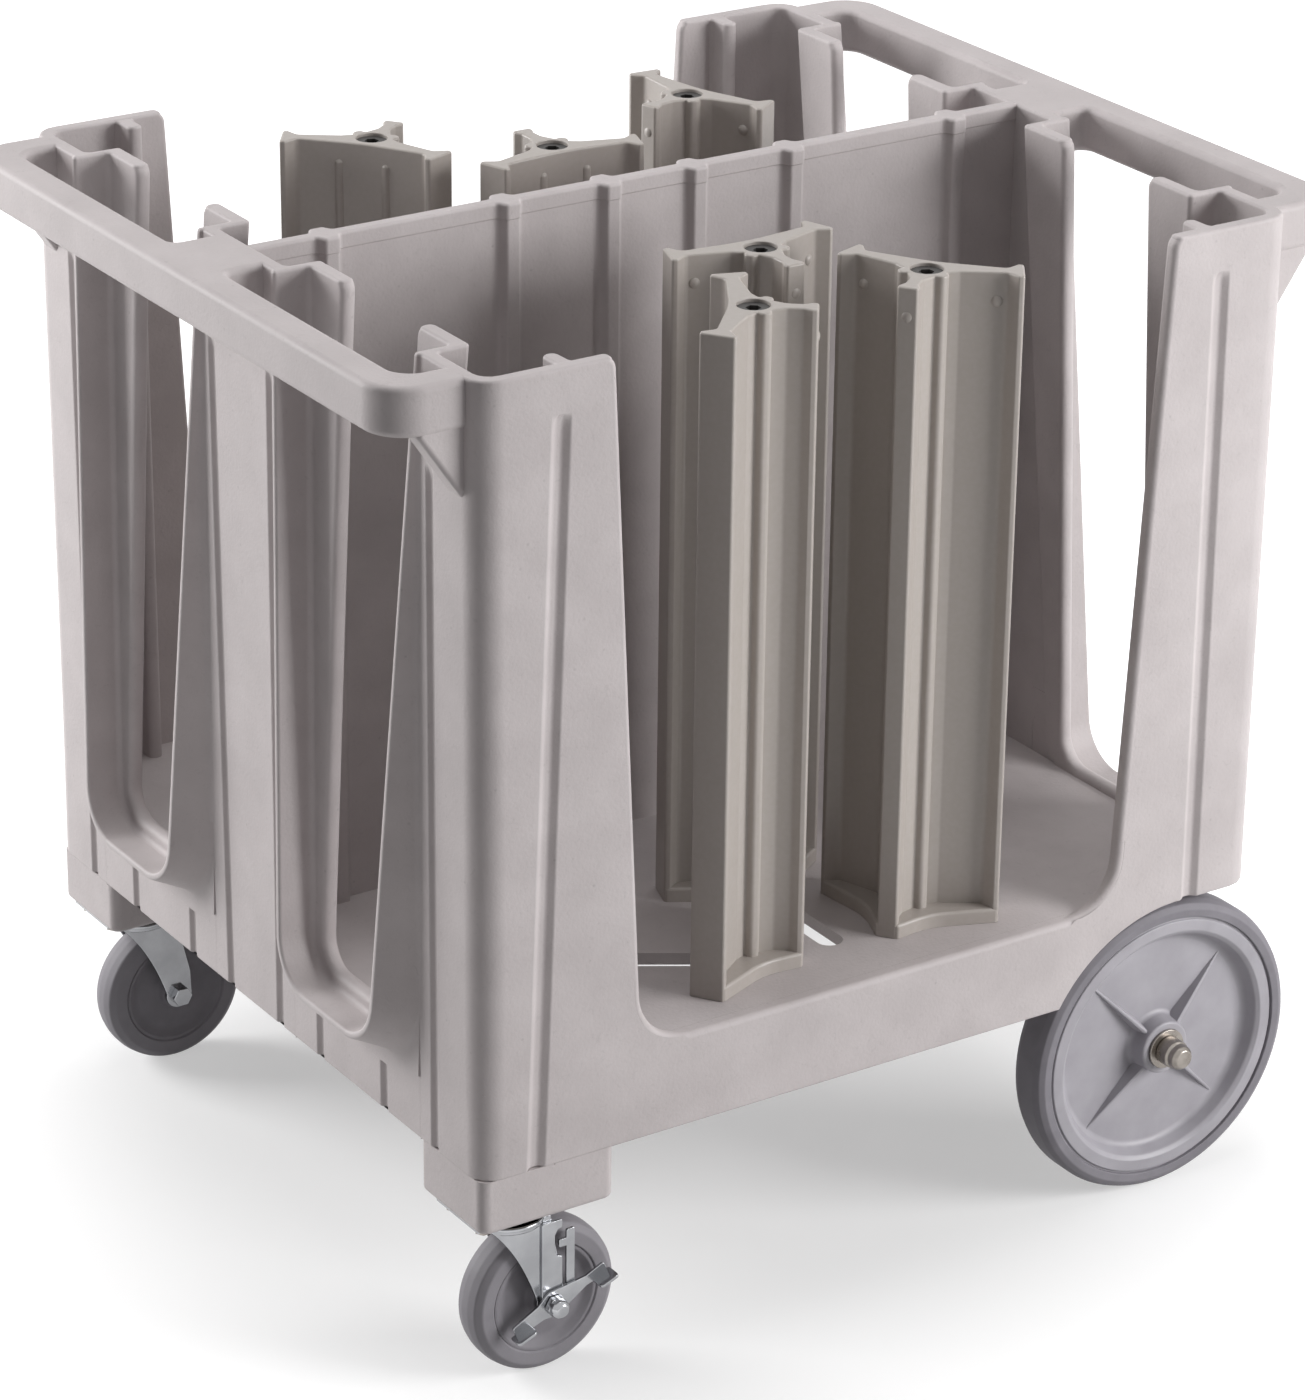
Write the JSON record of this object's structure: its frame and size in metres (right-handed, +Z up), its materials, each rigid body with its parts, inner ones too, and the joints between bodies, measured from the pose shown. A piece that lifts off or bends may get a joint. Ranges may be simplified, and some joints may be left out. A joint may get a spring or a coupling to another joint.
{
  "type": "dish caddy",
  "caption": "Open moulded cart with a slotted deck, sliding and turning dish towers, braked swivel casters and large rear wheels.",
  "frame": {"origin": "on the floor under the middle of the cart", "axes": "+Z up, +X from the caster end to the large wheel end, +Y from the near side to the far side"},
  "size_m": [0.852, 0.724, 0.824],
  "materials": {
    "cart_plastic": "light grey structural foam with a fine grain",
    "tower_plastic": "smooth moulded warm grey plastic",
    "dark_plug": "dark clamp screw head",
    "zinc_steel": "zinc plated steel",
    "wheel_plastic": "moulded grey wheel disc",
    "grey_rubber": "non-marking grey rubber",
    "caster_plastic": "grey caster wheel core",
    "dark_rubber": "grey caster tread",
    "bright_chrome": "bright plated pressed steel"
  },
  "bodies": {
    "cart": {"deck_plate": "cart_plastic", "under_deck_ribs": "cart_plastic", "near_side_skirt": "cart_plastic", "far_side_skirt": "cart_plastic", "front_end_skirt": "cart_plastic", "rear_end_skirt": "cart_plastic", "centre_divider": "cart_plastic", "front_near_corner": "cart_plastic", "front_far_corner": "cart_plastic", "rear_near_corner": "cart_plastic", "rear_far_corner": "cart_plastic", "front_centre_post": "cart_plastic", "rear_centre_post": "cart_plastic", "front_handle_rail": "cart_plastic", "rear_handle_rail": "cart_plastic", "near_caster_block": "cart_plastic", "far_caster_block": "cart_plastic", "axle_hangers": "cart_plastic", "rear_axle": "zinc_steel", "hub_washers": "zinc_steel", "cap_nuts": "zinc_steel", "caster_bolts": "zinc_steel", "near_caster_plate": "bright_chrome", "near_caster_race": "zinc_steel", "far_caster_plate": "bright_chrome", "far_caster_race": "zinc_steel"},
    "near_wheel": {"near_wheel_disc": "wheel_plastic", "near_wheel_tyre": "grey_rubber"},
    "far_wheel": {"far_wheel_disc": "wheel_plastic", "far_wheel_tyre": "grey_rubber"},
    "near_caster": {"near_caster_fork": "bright_chrome", "near_caster_axle": "bright_chrome", "near_brake_strap": "bright_chrome"},
    "near_caster_wheel": {"near_caster_core": "caster_plastic", "near_caster_tread": "dark_rubber"},
    "near_brake": {"near_brake_lever": "bright_chrome"},
    "far_caster": {"far_caster_fork": "bright_chrome", "far_caster_axle": "bright_chrome", "far_brake_strap": "bright_chrome"},
    "far_caster_wheel": {"far_caster_core": "caster_plastic", "far_caster_tread": "dark_rubber"},
    "far_brake": {"far_brake_lever": "bright_chrome"},
    "tower_1_clamp": {"tower_1_clamp_rod": "dark_plug", "tower_1_clamp_plate": "zinc_steel"},
    "tower_1_post": {"tower_1": "tower_plastic"},
    "tower_2_clamp": {"tower_2_clamp_rod": "dark_plug", "tower_2_clamp_plate": "zinc_steel"},
    "tower_2_post": {"tower_2": "tower_plastic"},
    "tower_3_clamp": {"tower_3_clamp_rod": "dark_plug", "tower_3_clamp_plate": "zinc_steel"},
    "tower_3_post": {"tower_3": "tower_plastic"},
    "tower_4_clamp": {"tower_4_clamp_rod": "dark_plug", "tower_4_clamp_plate": "zinc_steel"},
    "tower_4_post": {"tower_4": "tower_plastic"},
    "tower_5_clamp": {"tower_5_clamp_rod": "dark_plug", "tower_5_clamp_plate": "zinc_steel"},
    "tower_5_post": {"tower_5": "tower_plastic"},
    "tower_6_clamp": {"tower_6_clamp_rod": "dark_plug", "tower_6_clamp_plate": "zinc_steel"},
    "tower_6_post": {"tower_6": "tower_plastic"}
  },
  "joints": [
    {"name": "near_wheel_spin", "type": "hinge", "parent": "cart", "child": "near_wheel", "pos_m": [0.288, -0.317, 0.127], "axis": [0, 1, 0], "continuous": true},
    {"name": "near_caster_swivel", "type": "hinge", "parent": "cart", "child": "near_caster", "pos_m": [-0.314, -0.299, 0.14], "axis": [0, 0, 1], "continuous": true},
    {"name": "near_caster_spin", "type": "hinge", "parent": "near_caster", "child": "near_caster_wheel", "pos_m": [-0.288, -0.299, 0.0635], "axis": [0, 1, 0], "continuous": true},
    {"name": "near_brake_tilt", "type": "hinge", "parent": "near_caster", "child": "near_brake", "pos_m": [-0.288, -0.299, 0.0635], "axis": [0, 1, 0], "range_deg": [-18, 18]},
    {"name": "far_wheel_spin", "type": "hinge", "parent": "cart", "child": "far_wheel", "pos_m": [0.288, 0.317, 0.127], "axis": [0, 1, 0], "continuous": true},
    {"name": "far_caster_swivel", "type": "hinge", "parent": "cart", "child": "far_caster", "pos_m": [-0.314, 0.299, 0.14], "axis": [0, 0, 1], "continuous": true},
    {"name": "far_caster_spin", "type": "hinge", "parent": "far_caster", "child": "far_caster_wheel", "pos_m": [-0.288, 0.299, 0.0635], "axis": [0, 1, 0], "continuous": true},
    {"name": "far_brake_tilt", "type": "hinge", "parent": "far_caster", "child": "far_brake", "pos_m": [-0.288, 0.299, 0.0635], "axis": [0, 1, 0], "range_deg": [-18, 18]},
    {"name": "tower_1_slide", "type": "slide", "parent": "cart", "child": "tower_1_clamp", "axis": [0, -1, 0], "range_m": [-0.05, 0.012]},
    {"name": "tower_1_turn", "type": "hinge", "parent": "tower_1_clamp", "child": "tower_1_post", "pos_m": [0, -0.155, 0.5], "axis": [0, 0, 1], "range_deg": [-12, 12]},
    {"name": "tower_2_slide", "type": "slide", "parent": "cart", "child": "tower_2_clamp", "axis": [-0.8512, 0.5249, 0], "range_m": [-0.008, 0.11]},
    {"name": "tower_2_turn", "type": "hinge", "parent": "tower_2_clamp", "child": "tower_2_post", "pos_m": [-0.07792, -0.26065, 0.5], "axis": [0, 0, 1], "range_deg": [-25, 25]},
    {"name": "tower_3_slide", "type": "slide", "parent": "cart", "child": "tower_3_clamp", "axis": [0.8512, 0.5249, 0], "range_m": [-0.008, 0.11]},
    {"name": "tower_3_turn", "type": "hinge", "parent": "tower_3_clamp", "child": "tower_3_post", "pos_m": [0.07792, -0.26065, 0.5], "axis": [0, 0, 1], "range_deg": [-25, 25]},
    {"name": "tower_4_slide", "type": "slide", "parent": "cart", "child": "tower_4_clamp", "axis": [-0.8512, -0.5249, 0], "range_m": [-0.045, 0.075]},
    {"name": "tower_4_turn", "type": "hinge", "parent": "tower_4_clamp", "child": "tower_4_post", "pos_m": [-0.1138, 0.23312, 0.5], "axis": [0, 0, 1], "range_deg": [-25, 25]},
    {"name": "tower_5_slide", "type": "slide", "parent": "cart", "child": "tower_5_clamp", "axis": [0, 1, 0], "range_m": [-0.04, 0.018]},
    {"name": "tower_5_turn", "type": "hinge", "parent": "tower_5_clamp", "child": "tower_5_post", "pos_m": [0, 0.142, 0.5], "axis": [0, 0, 1], "range_deg": [-15, 15]},
    {"name": "tower_6_slide", "type": "slide", "parent": "cart", "child": "tower_6_clamp", "axis": [0.8512, -0.5249, 0], "range_m": [-0.1, 0.012]},
    {"name": "tower_6_turn", "type": "hinge", "parent": "tower_6_clamp", "child": "tower_6_post", "pos_m": [0.16984, 0.20396, 0.5], "axis": [0, 0, 1], "range_deg": [-60, 10]}
  ]
}
